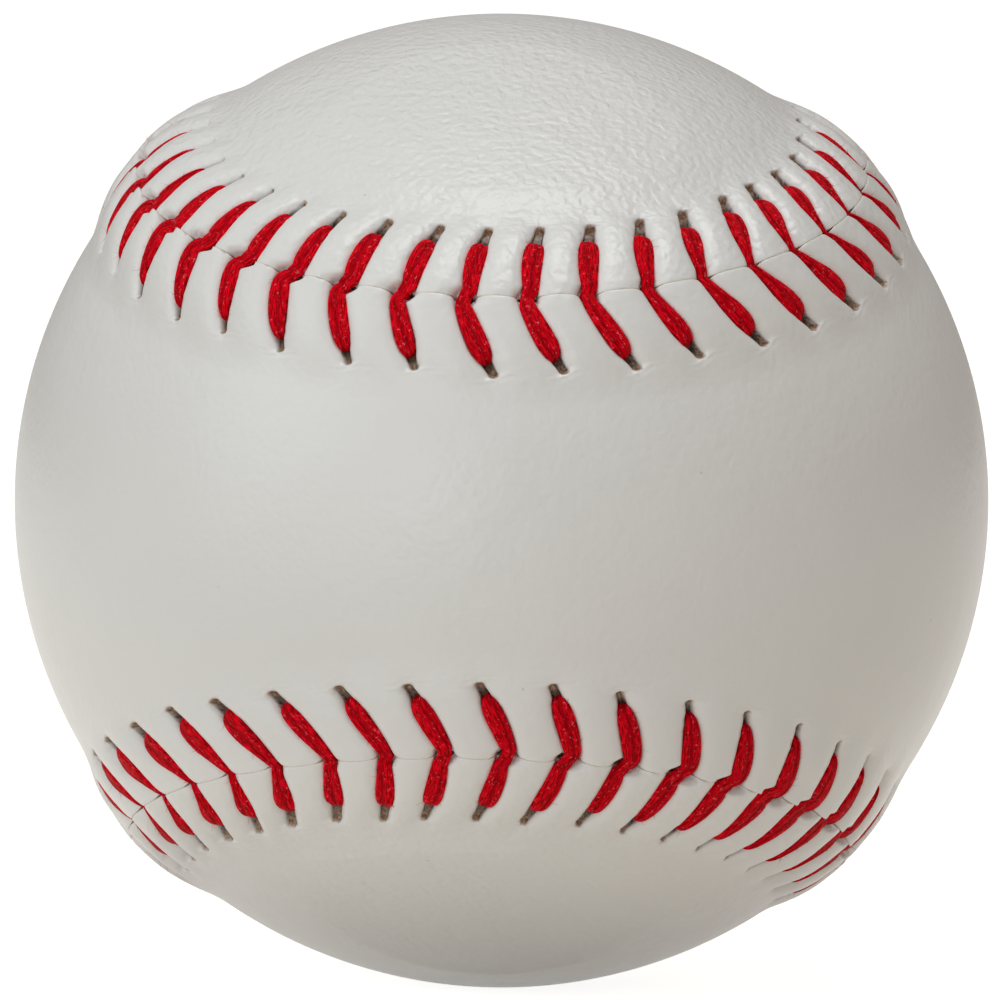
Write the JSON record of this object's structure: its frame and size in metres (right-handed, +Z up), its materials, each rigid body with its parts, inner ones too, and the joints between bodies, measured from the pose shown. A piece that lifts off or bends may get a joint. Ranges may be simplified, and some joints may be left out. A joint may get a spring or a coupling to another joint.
{
  "type": "baseball",
  "caption": "Stitched leather-covered ball with a raised red-laced seam round two interlocking cover panels, wound over a cork and rubber pill.",
  "frame": {"origin": "centre of the ball", "axes": "+Z up in the picture's view; the front panel's narrow waist faces -Y, towards the viewer, and its lobes wrap round to -X and +X; the back panel's waist faces +Y and its lobes +Z and -Z"},
  "size_m": [0.073, 0.073, 0.073],
  "materials": {
    "cork": "matte granular cork",
    "black_rubber": "matte",
    "red_rubber": "matte",
    "grey_wool": "wound yarn",
    "white_wool": "wound yarn",
    "cotton": "fine wound thread",
    "leather": "smooth white tanned leather with a fine grain",
    "red_thread": "waxed cotton thread"
  },
  "bodies": {
    "root": {"cork_core": "cork", "inner_rubber_upper": "black_rubber", "inner_rubber_lower": "black_rubber", "rubber_washer": "red_rubber", "outer_rubber": "red_rubber", "wool_winding_1": "grey_wool", "wool_winding_2": "white_wool", "wool_winding_3": "grey_wool", "cotton_winding": "cotton", "cover_panel_front": "leather", "cover_panel_back": "leather", "lacing_thread_1": "red_thread", "lacing_thread_2": "red_thread"}
  },
  "joints": []
}
